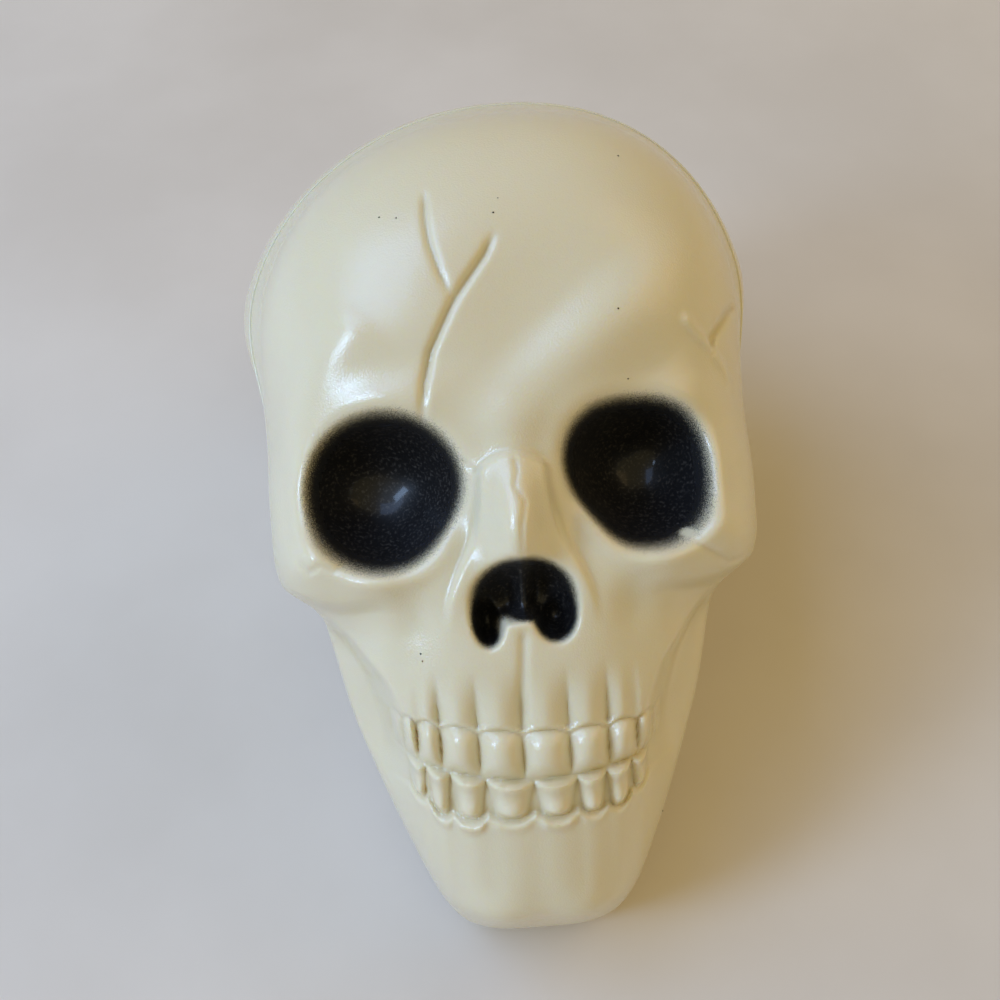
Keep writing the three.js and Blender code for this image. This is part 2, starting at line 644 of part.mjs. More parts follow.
// The lip of the face half reaches back inside the rebated rim of the back half
const lipZone = box([-FAR, -LIP_ROOT, -FAR], [FAR, LIP_LENGTH, FAR]);
const rebateZone = box([-FAR, -LIP_ROOT, -FAR], [FAR, LIP_LENGTH + CLEARANCE, FAR]);
const lipOutside = innerForm(WALL - LIP_THICKNESS).intersect(aboveTable(REST_CUT + WALL - LIP_THICKNESS));
const rebate = innerForm(LIP_THICKNESS).intersect(aboveTable(REST_CUT + LIP_THICKNESS));
const lip = lipOutside.subtract(innerForm(WALL)).intersect(lipZone);

const plugBoss = plugBar(PLUG_BORE_DIAMETER + 2 * PLUG_BOSS_WALL, -PLUG_SUNK - PLUG_BOSS_DEPTH, 0);
const plugBore = plugBar(PLUG_BORE_DIAMETER, -FAR, FAR / 2);
const plugSeat = plugBar(PLUG_HEAD_DIAMETER + 2 * CLEARANCE, -PLUG_SUNK, FAR / 2);

const faceShell = shell.intersect(inFront).add(lip);
const backShell = shell
  .intersect(behind)
  .add(plugBoss.intersect(form))
  .subtract(rebate.intersect(rebateZone))
  .subtract(plugBore)
  .subtract(plugSeat);

// A paint coat lines its well, a little clear of the plastic, and stops short of the rim
function paintCoat(bowl) {
  const film = bowl(-CLEARANCE).subtract(bowl(-CLEARANCE - PAINT_FILM));
  return film.intersect(innerForm(PAINT_EDGE));
}

function mesh(name, piece, look) {
  const { vertProperties, triVerts } = piece.simplify(SLIVER).getMesh();
  const geometry = new THREE.BufferGeometry();
  geometry.setAttribute("position", new THREE.BufferAttribute(vertProperties, 3));
  geometry.setIndex(new THREE.BufferAttribute(triVerts, 1));
  const made = new THREE.Mesh(geometry, new THREE.MeshStandardMaterial(look));
  made.name = name;
  return made;
}

const skull = new THREE.Group();
skull.add(
  mesh("face_shell", faceShell, BONE_PLASTIC),
  mesh("back_shell", backShell, BONE_PLASTIC),
  mesh("right_socket_paint", paintCoat(socketWells.right), BLACK_PAINT),
  mesh("left_socket_paint", paintCoat(socketWells.left), BLACK_PAINT),
  mesh("nose_paint", paintCoat(noseWell), BLACK_PAINT),
  mesh("base_plug", plugForm(), BONE_PLASTIC),
);

// Lean the skull back on to the table and put the origin under the middle of its box
skull.rotation.x = LEAN - Math.PI / 2;
const ornament = new THREE.Group();
ornament.add(skull);
ornament.updateMatrixWorld(true);
const extent = new THREE.Box3().setFromObject(ornament, true);
const middle = extent.getCenter(new THREE.Vector3());
skull.position.set(-middle.x, -middle.y, -extent.min.z);

export default ornament;
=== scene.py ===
import bmesh
import bpy
import numpy as np
from mathutils import Matrix, Vector


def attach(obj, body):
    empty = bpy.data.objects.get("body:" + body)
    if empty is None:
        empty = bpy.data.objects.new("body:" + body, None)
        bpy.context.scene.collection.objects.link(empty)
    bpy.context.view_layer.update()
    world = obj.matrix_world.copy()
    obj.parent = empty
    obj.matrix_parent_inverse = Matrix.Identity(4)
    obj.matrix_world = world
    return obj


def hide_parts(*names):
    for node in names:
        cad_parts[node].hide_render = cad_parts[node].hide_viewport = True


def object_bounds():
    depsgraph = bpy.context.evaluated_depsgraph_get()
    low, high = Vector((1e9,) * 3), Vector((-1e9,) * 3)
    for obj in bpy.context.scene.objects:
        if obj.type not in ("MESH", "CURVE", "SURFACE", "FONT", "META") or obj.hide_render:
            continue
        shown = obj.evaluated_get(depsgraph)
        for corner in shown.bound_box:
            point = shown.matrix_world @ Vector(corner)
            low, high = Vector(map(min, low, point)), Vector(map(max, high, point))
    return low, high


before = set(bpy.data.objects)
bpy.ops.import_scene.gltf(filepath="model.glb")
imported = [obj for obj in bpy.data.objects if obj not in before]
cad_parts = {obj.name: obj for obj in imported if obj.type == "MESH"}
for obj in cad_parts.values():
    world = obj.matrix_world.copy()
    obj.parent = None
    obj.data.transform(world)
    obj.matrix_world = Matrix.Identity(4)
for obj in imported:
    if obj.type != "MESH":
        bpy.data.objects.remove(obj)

cad_low, cad_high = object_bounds()


# Face half
# The front of the skull, from the seam forward: one thin moulding of cream plastic with the sockets, nose,
# cheekbones, clenched teeth and chin pressed into it. It is drawn upright in its mould, in millimetres, with
# the seam in the plane y = 0, and then leaned back on to the table as the whole skull lies.
HEIGHT = 161
WIDEST_AT = 116
FOREHEAD_AT = 112
FACE_WALL = 2.4
REST_CUT = 1
CHIN_BACK_DEPTH = 2
# Outlines from the chin up to the widest level, as stations (height, value)
HALF_WIDTH = [(0, 11), (3, 15.6), (12, 21), (41, 32.9), (60, 37.8), (66.5, 39.6), (71.5, 44.9), (82, 46.2),
              (WIDEST_AT, 47.1)]
FACE_PROFILE = [(0, 5), (3, 13.5), (6, 21), (12, 30), (30, 39), (45, 43), (61, 46), (92, 47.5),
                (FOREHEAD_AT, 52)]
BACK_PROFILE = [(0, CHIN_BACK_DEPTH), (22, 13), (65, 44), (85, 63), (108, 75)]
NAPE_WIDTH = [(0, 11), (3, 15.6), (12, 21), (41, 32.8), (60, 37.1), (72, 40.9), (82, 44.8), (WIDEST_AT, 47.1)]
NAPE_BLEND = 0.6
# How square the level sections and the crowns are: 2 is round, and more is squarer
FACE_SQUARENESS = [(0, 2.4), (42, 2.3), (84, 3.1), (FOREHEAD_AT, 2.25)]
BACK_SQUARENESS = 2.2
WIDTH_CROWN = 2.1
FACE_CROWN = 1.97
BACK_CROWN = 2.2


def smoothstep(value, low, high):
    """0 below low, 1 above high, smooth between."""
    t = np.clip((value - low) / (high - low), 0, 1)
    return t * t * (3 - 2 * t)


def rise_and_fall(value, rise, fall):
    """1 between two ramps, and 0 before the first and after the second."""
    return smoothstep(value, *rise) * (1 - smoothstep(value, *fall))


def profile(stations):
    """A smooth curve through (height, value) stations, level at the last one."""
    heights, values = np.array(stations, float).T
    slopes = np.zeros_like(values)
    slopes[0] = (values[1] - values[0]) / (heights[1] - heights[0])
    slopes[1:-1] = (values[2:] - values[:-2]) / (heights[2:] - heights[:-2])

    def at(height):
        i = np.clip(np.searchsorted(heights, height) - 1, 0, len(heights) - 2)
        span = heights[i + 1] - heights[i]
        t = np.clip((height - heights[i]) / span, 0, 1)
        start = (2 * t**3 - 3 * t**2 + 1) * values[i]
        end = (3 * t**2 - 2 * t**3) * values[i + 1]
        return start + end + span * ((t**3 - 2 * t**2 + t) * slopes[i] + (t**3 - t**2) * slopes[i + 1])

    return at


def crowned(stations, squareness):
    """A profile up to its widest station and a round crown from there to the top."""
    below = profile(stations)
    widest_at, widest = stations[-1]

    def at(height):
        t = np.clip((height - widest_at) / (HEIGHT - widest_at), 0, 1)
        crown = widest * (1 - t**squareness) ** (1 / squareness)
        return np.where(height <= widest_at, below(height), crown)

    return at


half_width = crowned(HALF_WIDTH, WIDTH_CROWN)
nape_width = crowned(NAPE_WIDTH, WIDTH_CROWN)
face_profile = crowned(FACE_PROFILE, FACE_CROWN)
back_profile = crowned(BACK_PROFILE, BACK_CROWN)
face_squareness = profile(FACE_SQUARENESS)

# Swellings and hollows: places across the face, height, spread across, spread up, rise
RELIEFS = [
    ([-20], 102.5, 11, 3.8, 0.9),  # bone above the right socket
    ([31], 100.5, 6, 4, 1.6),  # left brow ridge
    ([-15], 109, 9, 3.5, -0.6),  # hollow above the right brow
    ([-30, 30], 112, 10, 9, 1.2),  # bosses of the forehead
    ([0], 98, 6, 4.5, 1.2),  # glabella
    ([-0.5], 81, 4.6, 10, 7.2),  # nasal bridge
    ([-9.6, 9.6], 84, 2.6, 7, -1.4),  # inner corners of the sockets
    ([-37, 37], 77, 6.5, 5.5, 4.5),  # cheekbones
    ([-25, 25], 73, 6, 2.6, 1.6),  # lower rims of the sockets
    ([-34, 34], 61, 5, 6, -3),  # hollows under the cheekbones
    ([-19, 19], 66, 4, 5, -1.6),  # hollows beside the nose
    ([-22, 22], 59, 9, 7, -1.8),  # sides of the upper jaw
    ([-44, 44], 98, 5, 9, -3.5),  # temples
    ([-8, 8], 9, 6, 6, 2),  # corners of the chin
]


def swelling(x, z, centre, at, across, up, rise):
    """A round swelling, or a hollow where its rise is below 0."""
    return rise * np.exp(-(((x - centre) / across) ** 2) - ((z - at) / up) ** 2)


# The dent in the forehead lies aslant, with one steep side towards the left brow
DENT = {"x": 6, "z": 116, "long": 19, "steep": 7, "easy": 15, "turn": np.radians(38), "depth": 4.2}
# Beyond the dent's steep side the bone falls away to the left socket
BROW_FALL = {"along": 7, "long": 17, "start": (7, 21), "end": (27, 42), "depth": 3.0}


def relief(x, z):
    """All the swellings and hollows of the face together."""
    total = np.zeros_like(x)
    for centres, *spread in RELIEFS:
        for centre in centres:
            total += swelling(x, z, centre, *spread)
    dx = x - DENT["x"]
    dz = z - DENT["z"]
    along = dx * np.cos(DENT["turn"]) + dz * np.sin(DENT["turn"])
    aside = dz * np.cos(DENT["turn"]) - dx * np.sin(DENT["turn"])
    fall = BROW_FALL["depth"] * rise_and_fall(-aside, BROW_FALL["start"], BROW_FALL["end"])
    fall *= np.exp(-(((along - BROW_FALL["along"]) / BROW_FALL["long"]) ** 2))
    aside = aside / np.where(aside < 0, DENT["steep"], DENT["easy"])
    return total - fall - DENT["depth"] * np.exp(-((along / DENT["long"]) ** 2) - aside**2)


# Eye sockets, the skull's own right first. Each has a flat side that cuts its round outline.
SOCKETS = [
    {"x": -22.4, "z": 87.6, "rx": 14.0, "rz": 13.6, "square": 2.05, "cut": (0.8, -0.6), "cut_at": 14},
    {"x": 20.6, "z": 87.9, "rx": 13.2, "rz": 13.0, "square": 2.5, "cut": (-0.79, -0.61), "cut_at": 11.4},
]
SOCKET_DEPTH = 16
SOCKET_LIP = {"rise": 1.0, "at": 1.13, "width": 0.13, "least": 0.25, "turn": np.radians(50)}
BOWL_STEEPNESS = 2.3
BOWL_RIM = 0.12
CORNER_ROUNDING = 7
NOSE_X = -0.2
NOSE_DOME = {"z": 68.6, "rx": 9.1, "rz": 7.3, "cut_at": 4.3}
NOSE_LOBES = [{"x": -6.2, "z": 65.2, "rx": 2.9, "rz": 4.9}, {"x": 5.1, "z": 65.2, "rx": 3.8, "rz": 4.7}]
NOSE_MERGE = 9
NOSE_DEPTH = 9
SEPTUM = 0.4
SEPTUM_HALF = 1.6


def bowl(reach):
    """Depth share of a well, from its reach: 1 in its middle, and next to nothing beyond its rounded rim."""
    share = 1 - reach**BOWL_STEEPNESS
    return (share + np.hypot(share, BOWL_RIM)) / 2


def cornered(first, second):
    """The larger of two reaches, with the corner between them rounded."""
    return (first**CORNER_ROUNDING + np.clip(second, 0, None) ** CORNER_ROUNDING) ** (1 / CORNER_ROUNDING)


def socket_reach(x, z, s, grow=0):
    """How far out a place lies in a socket: 0 in its middle and 1 on its outline."""
    dx = x - s["x"]
    dz = z - s["z"]
    across = np.abs(dx) / (s["rx"] + grow)
    up = np.abs(dz) / (s["rz"] + grow)
    rim = (across ** s["square"] + up ** s["square"]) ** (1 / s["square"])
    return cornered(rim, (dx * s["cut"][0] + dz * s["cut"][1]) / (s["cut_at"] + grow))


def nose_reach(x, z, grow=0):
    """The same for the nose: a dome with a flat floor and a lobe on each side of it, run together."""
    dx = x - NOSE_X
    middle = np.hypot(dx / (NOSE_DOME["rx"] + grow), (z - NOSE_DOME["z"]) / (NOSE_DOME["rz"] + grow))
    parts = [cornered(middle, (NOSE_DOME["z"] - z) / (NOSE_DOME["cut_at"] + grow))]
    for lobe in NOSE_LOBES:
        aside = (dx - lobe["x"]) / (lobe["rx"] + grow)
        up = (z - lobe["z"]) / (lobe["rz"] + grow)
        parts.append(np.hypot(aside, up))
    together = sum(np.exp(-NOSE_MERGE * part) for part in parts)
    return np.maximum(-np.log(together) / NOSE_MERGE, 0)


def lips(x, z):
    """The raised edge of each socket, strongest at its outer and lower sides."""
    total = np.zeros_like(x)
    for s in SOCKETS:
        turn = np.arctan2(z - s["z"], (x - s["x"]) * np.sign(s["x"]))
        facing = np.clip(np.cos(turn + SOCKET_LIP["turn"]), 0, 1)
        share = SOCKET_LIP["least"] + (1 - SOCKET_LIP["least"]) * facing
        total += share * np.exp(-(((socket_reach(x, z, s) - SOCKET_LIP["at"]) / SOCKET_LIP["width"]) ** 2))
    return SOCKET_LIP["rise"] * total


def wells(x, z, grow):
    """Depth of the sockets and the nose below the face."""
    deep = NOSE_DEPTH * bowl(nose_reach(x, z, grow))
    deep *= 1 - SEPTUM * np.exp(-(((x - NOSE_X) / SEPTUM_HALF) ** 2))
    for s in SOCKETS:
        deep = np.maximum(deep, SOCKET_DEPTH * bowl(socket_reach(x, z, s, grow)))
    return deep


# Teeth: where each one ends across the mouth, the lines of the gums and the bite, and where the rows fade out
UPPER_EDGES = [-25.4, -22.7, -20.1, -16, -9.5, -2, 6, 12.8, 18, 21.8, 24.5]
LOWER_EDGES = [-22.6, -19.1, -14.9, -8.8, -0.6, 6.9, 12.1, 16.8, 20.5]
UPPER_GUM = {"at": 46, "x": 5, "curve": 0.0045, "scallop": 0.8}
BITE = {"at": 37.1, "x": 1.5, "curve": 0.0075}
LOWER_GUM = {"at": 29.5, "scallop": 1.4, "rise": 4, "ends": (14, 22)}
MOUTH_X = -0.8
MOUTH_ENDS = (19, 28)
# The recess between the gum lines that the teeth stand in, and how it starts and ends at those lines
RECESS = {"depth": 1.5, "foot": (-0.7, 0.9), "gum": (-0.5, 0.4)}
TOOTH_ROUNDING = 2.1
UPPER_TOOTH = {"proud": 2.9, "rounding": 2.8}
# A lower tooth, by the share of its height down from the bite: its edge, the hollow below that, and its foot
LOWER_TOOTH = {"proud": 3.0, "edge": (0, 0.16), "hollow": 0.28, "hollow_start": (0.16, 0.4),
               "hollow_end": (0.45, 0.8), "foot": (0.72, 1), "wide": 0.9, "taper": 0.6}
# Each lower tooth's lip, the valleys between the roots of the upper teeth, and the bands down the chin
LOWER_LIPS = np.array([0.2, 0.6, 1.1, 0.5, 0.9, 0.4, 0.2, 0.1])
LOWER_LIP = {"below": 0.9, "half": 1.0, "edge": 0.5}
ROOTS = {"depth": 2.0, "rounding": 1.7, "gum": (-0.2, 0.8), "fade": (48, 58), "ends": (16, 20)}
CHIN_BANDS = {"rise": 0.2, "start": (8, 18), "end": (25, 30), "edge": 0.9}


def on_tooth(x, edges):
    """Which tooth x falls on, and the place across it, from -1 on one side to 1 on the other."""
    edges = np.array(edges)
    i = np.clip(np.searchsorted(edges, x) - 1, 0, len(edges) - 2)
    return i, np.clip((2 * x - edges[i] - edges[i + 1]) / (edges[i + 1] - edges[i]), -1, 1)


def pillow(share, edge):
    """Height of a soft block: 1 over the middle and 0 at both ends, with edges that take up this share."""
    return smoothstep(1 - np.abs(share), 0, edge)


def dome(share, power):
    """Height across a rounded block: 1 in the middle, and a crisp valley where its ends meet the next one."""
    return 1 - np.clip(np.abs(share), 0, 1) ** power


def teeth(x, z):
    """Both rows of teeth in their recess, with the lips, roots and bands of the chin that go with them."""
    away = np.abs(x - MOUTH_X)
    _, upper_u = on_tooth(x, UPPER_EDGES)
    tooth, lower_u = on_tooth(x, LOWER_EDGES)
    gum = UPPER_GUM["at"] + UPPER_GUM["curve"] * (x - UPPER_GUM["x"]) ** 2 - UPPER_GUM["scallop"] * upper_u**2
    bite = BITE["at"] + BITE["curve"] * (x - BITE["x"]) ** 2
    foot = LOWER_GUM["at"] + LOWER_GUM["scallop"] * lower_u**2
    foot += LOWER_GUM["rise"] * smoothstep(away, *LOWER_GUM["ends"])
    upper_v = (2 * z - gum - bite) / (gum - bite)
    upper = UPPER_TOOTH["proud"] * dome(upper_u, TOOTH_ROUNDING) * dome(upper_v, UPPER_TOOTH["rounding"])
    down = np.clip((bite - z) / (bite - foot), 0, 1)
    hollow = rise_and_fall(down, LOWER_TOOTH["hollow_start"], LOWER_TOOTH["hollow_end"])
    lower = smoothstep(down, *LOWER_TOOTH["edge"]) - LOWER_TOOTH["hollow"] * hollow
    lower *= LOWER_TOOTH["proud"]
    lower *= dome(lower_u * (LOWER_TOOTH["wide"] + LOWER_TOOTH["taper"] * down), TOOTH_ROUNDING)
    lower *= 1 - smoothstep(down, *LOWER_TOOTH["foot"])
    row = np.where(z > bite, upper, lower) - RECESS["depth"]
    row *= smoothstep(z - foot, *RECESS["foot"]) * (1 - smoothstep(z - gum, *RECESS["gum"]))
    lip = LOWER_LIPS[tooth] * np.exp(-(((z - foot + LOWER_LIP["below"]) / LOWER_LIP["half"]) ** 2))
    lip *= pillow(lower_u, LOWER_LIP["edge"])
    roots = ROOTS["depth"] * smoothstep(z - gum, *ROOTS["gum"]) * (1 - smoothstep(z, *ROOTS["fade"]))
    roots *= (1 - dome(upper_u, ROOTS["rounding"])) * (1 - smoothstep(away, *ROOTS["ends"]))
    bands = CHIN_BANDS["rise"] * rise_and_fall(z, CHIN_BANDS["start"], CHIN_BANDS["end"])
    bands *= pillow(lower_u, CHIN_BANDS["edge"])
    return (row + lip - roots + bands) * (1 - smoothstep(away, *MOUTH_ENDS))


# The muzzle: height, how far the jaws' sides drop behind the front teeth, where that starts, and its width
MUZZLE = np.array([
    (12, 0, 13, 18),
    (30, 6, 16, 14),
    (41, 11.6, 18.3, 8.7),
    (54, 12, 22.5, 7),
    (61, 9, 28, 6.2),
    (68, 0, 34, 6),
])
muzzle_drop, muzzle_start, muzzle_width = (profile(MUZZLE[:, [0, i]]) for i in (1, 2, 3))


def muzzle(x, z):
    """How far the sides of the jaws lie behind the front teeth."""
    beyond = np.abs(x - MOUTH_X) - muzzle_start(z)
    return muzzle_drop(z) * smoothstep(beyond / muzzle_width(z), 0, 1)


def line_distance(x, z, points):
    """Distance to a line through the points, and how far along it the nearest place is, from 0 to 1."""
    best = np.full_like(x, np.inf)
    where = np.zeros_like(x)
    count = len(points) - 1
    for i, ((x0, z0), (x1, z1)) in enumerate(zip(points, points[1:])):
        length = (x1 - x0) ** 2 + (z1 - z0) ** 2
        t = np.clip(((x - x0) * (x1 - x0) + (z - z0) * (z1 - z0)) / length, 0, 1)
        away = np.hypot(x - x0 - t * (x1 - x0), z - z0 - t * (z1 - z0))
        where = np.where(away < best, (i + t) / count, where)
        best = np.minimum(best, away)
    return best, where


# Cracks, bone seams and two ridges, as points (x, z) on the face, with their half-width and depth
GROOVES = [
    # the forked crack
    ([(-12.9, 138.5), (-12.6, 132.8), (-11.9, 128.4), (-10.3, 123), (-8.6, 119)], 0.6, 0.8),
    ([(-0.4, 130), (-3, 125.3), (-6.9, 120), (-8.6, 117.5), (-12.6, 110), (-14, 105), (-14.8, 99)], 0.7, 1.1),
    # between the nasal bones, and between the upper jaw bones
    ([(-0.4, 93), (0, 89.6), (-0.6, 87), (0.8, 84.5), (0, 81), (-0.2, 76)], 0.4, 0.45),
    ([(-0.6, 64), (-1.2, 56), (-1.8, 46)], 0.9, 0.6),
    # seams of the right cheek, the left cheek and the left temple
    ([(-38.4, 78), (-36, 75), (-34, 76.2), (-31.3, 75.2), (-28, 77)], 0.5, 0.5),
    ([(28, 76), (32, 74), (36, 71.5), (41, 72)], 0.5, 0.5),
    ([(44, 118), (41, 116), (38.8, 113.6), (36.6, 111), (36, 108)], 0.8, 1.7),
    # ridges of the right brow and the left temple
    ([(-22, 119), (-27.5, 113.5), (-31.5, 109.4), (-35.2, 104.6), (-38.7, 98.9), (-40, 92)], 4.8, -1.4),
    ([(30, 114.5), (32.2, 112), (35.5, 109), (38.5, 105.7), (40.2, 101.9)], 1.0, -0.9),
    # root of the nose
    ([(-9, 92.5), (-7.5, 90.4), (-5.8, 90.2)], 0.45, 0.4),
]
GROOVE_START = (0, 0.15)
GROOVE_END = (0.8, 1)
GROOVE_END_LOSS = 0.6


def grooves(x, z):
    """Depth of the cracks and seams. Each starts from nothing and is shallower at its end."""
    cut = np.zeros_like(x)
    for points, half, depth in GROOVES:
        away, where = line_distance(x, z, points)
        taper = smoothstep(where, *GROOVE_START) * (1 - GROOVE_END_LOSS * smoothstep(where, *GROOVE_END))
        cut += depth * taper * np.exp(-((away / half) ** 2))
    return cut


# The nasal bones: half their width by height, their step, and how their sides, top and foot fade
NASAL_HALF = profile([(60, 13), (68, 12.2), (73, 10.4), (79, 7.5), (84, 6.3), (88, 5.8), (93, 5.8)])
NASAL = {"x": -0.6, "step": 1.6, "side": (-0.9, 1.0), "top_at": 92.6, "top_curve": 0.07, "top": (-0.8, 0.9),
         "foot": (62, 74)}
# The lower edge of the cheekbones, by the distance across, the drop below it, and how that drop fades
CHEEK_EDGE = profile([(18, 68.5), (24, 70), (33, 69.4), (37, 70.4), (42, 72)])
CHEEK_DROP = {"step": 2.4, "below": (-14, -5), "above": (-2.6, 0.4), "across": (19, 30)}


def cheek_ledge(x, z):
    """The drop below each cheekbone's lower edge."""
    up = z - CHEEK_EDGE(np.abs(x))
    drop = CHEEK_DROP["step"] * rise_and_fall(up, CHEEK_DROP["below"], CHEEK_DROP["above"])
    return drop * smoothstep(np.abs(x), *CHEEK_DROP["across"])


def plates(x, z):
    """The nasal bones stand a step above the bone beside them."""
    dx = np.abs(x - NASAL["x"])
    sides = smoothstep(NASAL_HALF(z) - dx, *NASAL["side"])
    top = smoothstep(NASAL["top_at"] - NASAL["top_curve"] * dx**2 - z, *NASAL["top"])
    return NASAL["step"] * sides * top * smoothstep(z, *NASAL["foot"])


# The spray: where it ends, in reaches of each well, and how softly, and the patches worn bare
PAINT_EDGE = 0.98
PAINT_FADE = 0.3
NOSE_PAINT_INSET = 0.05
WORN = [
    {"centre": -3.4, "at": 63.6, "across": 1.7, "up": 1.9, "rise": 0.9},
    {"centre": 28.4, "at": 77.2, "across": 1.0, "up": 0.7, "rise": 1.0},
]


def paint_cover(x, z):
    """How far inside the sprayed black a place lies: 1 where it is solid, 0 outside the overspray."""
    reach = nose_reach(x, z) + NOSE_PAINT_INSET
    for s in SOCKETS:
        reach = np.minimum(reach, socket_reach(x, z, s))
    cover = np.clip((PAINT_EDGE - reach) / PAINT_FADE + 0.5, 0, 1)
    for patch in WORN:
        cover = cover * (1 - swelling(x, z, **patch))
    return cover


# Behind the seam the cranium grows over these depths and heights, so that the back shows beyond the face
SWELL = 0.2
SWELL_DEPTHS = (-15.5, 22)
SWELL_HEIGHTS = (96, 130)
CROWN_OFFSET = 4.2
CROWN_RISE = 10.2


def swollen(points):
    """The points with the cranium wider and higher behind the seam, and its crown leaning to one side."""
    x, y, z = np.moveaxis(points, -1, 0)
    behind = smoothstep(y, *SWELL_DEPTHS)
    up_crown = np.clip((z - WIDEST_AT) / (HEIGHT - WIDEST_AT), 0, 1)
    across = x * (1 + SWELL * behind * smoothstep(z, *SWELL_HEIGHTS)) + CROWN_OFFSET * up_crown**2
    return np.stack([across, y, z + CROWN_RISE * behind * up_crown], -1)


CHIN_TOP = 25
CHIN_CLOSING = [0.0, 0.35, 0.7]


def levels(rows, columns):
    """A grid of heights, in level rows from chin to crown: rows counts those on chin, face and crown."""
    chin, face, crown = rows
    turn = np.linspace(0, np.pi / 2, crown + 1)[1:]
    heights = np.concatenate(
        [
            np.linspace(0, CHIN_TOP, chin, endpoint=False),
            np.linspace(CHIN_TOP, FOREHEAD_AT, face),
            FOREHEAD_AT + (HEIGHT - FOREHEAD_AT) * np.sin(turn),
        ]
    )
    return heights[:, None] + np.zeros(columns + 1)


def section(z, angle, width, depth, squareness, inset):
    """A level section as a rounded square: x and depth for each angle from one side to the other."""
    c = np.cos(angle)
    s = np.sin(angle)
    radius = (np.abs(c) ** squareness + np.abs(s) ** squareness) ** (-1 / squareness)
    across = np.clip(width(z) - inset, 0, None)
    return -c * radius * across, s * radius * np.clip(depth(z) - inset, 0, None)


def closed_skin(x, y, z, inset):
    """A skin drawn in at chin and crown by the inset, with rows that close the chin below to a point."""
    z = inset + z * (HEIGHT - 2 * inset) / HEIGHT
    closing = [np.stack([x[0] * k, y[0] * k, z[0]], -1) for k in CHIN_CLOSING]
    return swollen(np.concatenate([np.stack(closing), np.stack([x, y, z], -1)]))


# The columns lie closer together over the middle of the face. The carving and the muzzle reach their full
# depth over these distances from the seam. On the inner skin the wells are wider, by this many walls.
COLUMN_SPREAD = 0.7
CARVING_FADE = (0, 10)
MUZZLE_FADE = (0, 30)
WELL_GROWTH = 1.5


def face_skin(rows, columns, inset):
    """The face in its mould as a grid of points, drawn in by the inset."""
    z = levels(rows, columns)
    s = np.linspace(-1, 1, columns + 1)
    angle = np.pi / 2 * (1 + COLUMN_SPREAD * s + (1 - COLUMN_SPREAD) * s**3)
    x, depth = section(z, angle, half_width, face_profile, face_squareness(z), inset)
    carved = relief(x, z) + plates(x, z) + lips(x, z) + teeth(x, z)
    carved = carved - cheek_ledge(x, z) - grooves(x, z) - wells(x, z, WELL_GROWTH * inset)
    carved = smoothstep(depth, *CARVING_FADE) * carved - smoothstep(depth, *MUZZLE_FADE) * muzzle(x, z)
    return closed_skin(x, -depth - carved, z, inset)


# The round seat of the plug in the slanting underside. On the inner skin it is wider, by twice the wall.
PLUG_SEAT = {"at": 42, "radius": 8.3, "edge": (0, 0.9), "depth": 2.7, "slant": 1.23}


def plug_seat(x, z, inset):
    """Depth of the plug's seat."""
    away = np.hypot(x, (z - PLUG_SEAT["at"]) * PLUG_SEAT["slant"]) - PLUG_SEAT["radius"] - 2 * inset
    return PLUG_SEAT["depth"] * (1 - smoothstep(away, *PLUG_SEAT["edge"]))


def back_skin(rows, columns, inset):
    """The back in its mould as a grid of points, drawn in by the inset."""
    z = levels(rows, columns)
    angle = np.linspace(np.pi, 0, columns + 1)
    x, depth = section(z, angle, half_width, back_profile, BACK_SQUARENESS, inset)
    nape_x, _ = section(z, angle, nape_width, back_profile, BACK_SQUARENESS, inset)
    x = x + (nape_x - x) * smoothstep(np.sin(angle), 0, NAPE_BLEND)
    return closed_skin(x, depth - plug_seat(x, z, inset), z, inset)


# The table touches the chin's back edge and the back of the head, and flattens both a little. The lean (above
# the first rows of the chin), the front of the chin and the widest side are measured on trial skins.
BACK_TRIAL = (25, 200, 90)
FACE_TRIAL = (25, 60, 20)
MIDDLE_COLUMNS = 2
FACE_TRIAL_COLUMNS = 40
BACK_TRIAL_COLUMNS = 180
CHIN_ROWS = 20
middle_back = back_skin(BACK_TRIAL, MIDDLE_COLUMNS, 0)[CHIN_ROWS:, 1]
lean = np.arctan(np.max((middle_back[:, 1] - CHIN_BACK_DEPTH) / middle_back[:, 2]))
turn_down = np.array(Matrix.Rotation(lean - np.pi / 2, 3, "X"))
chin_front = (face_skin(FACE_TRIAL, FACE_TRIAL_COLUMNS, 0) @ turn_down.T)[..., 1].min()
right_side = back_skin(BACK_TRIAL, BACK_TRIAL_COLUMNS, 0)[..., 0].min()
lift = -REST_CUT - (turn_down @ [0, CHIN_BACK_DEPTH, 0])[2]
MM = 0.001


def on_table(points):
    """Points in the mould, in millimetres, as places on the table, in metres."""
    placed = points @ turn_down.T
    placed[..., 0] += cad_low.x / MM - right_side
    placed[..., 1] += cad_low.y / MM - chin_front
    placed[..., 2] = np.maximum(placed[..., 2] + lift, 0)
    return placed * MM


# Painted shade in grooves and gaps: how often the depth is smoothed, and the dip below the smoothed depth
# that gives full shade
CREASE_SHADE_PASSES = 14
CREASE_SHADE_FULL = 0.45


def crease_shade(depth):
    """Where a skin dips below its own smoothed shape: 0 on open stretches and 1 in grooves and gaps, used as
    painted shade.
    """
    smooth = depth
    for _ in range(CREASE_SHADE_PASSES):
        around = np.pad(smooth, 1, "edge")
        beside = around[:-2, 1:-1] + around[2:, 1:-1] + around[1:-1, :-2] + around[1:-1, 2:]
        smooth = (smooth + beside) / 5
    return np.clip((smooth - depth) / CREASE_SHADE_FULL, 0, 1)


def grid_faces(rows, columns, start=0):
    """Faces with four sides between the points of a grid, which are numbered row by row from start."""
    i, j = np.meshgrid(np.arange(rows - 1), np.arange(columns - 1), indexing="ij")
    a = (start + i * columns + j).ravel()
    return np.stack([a, a + 1, a + columns + 1, a + columns], -1)


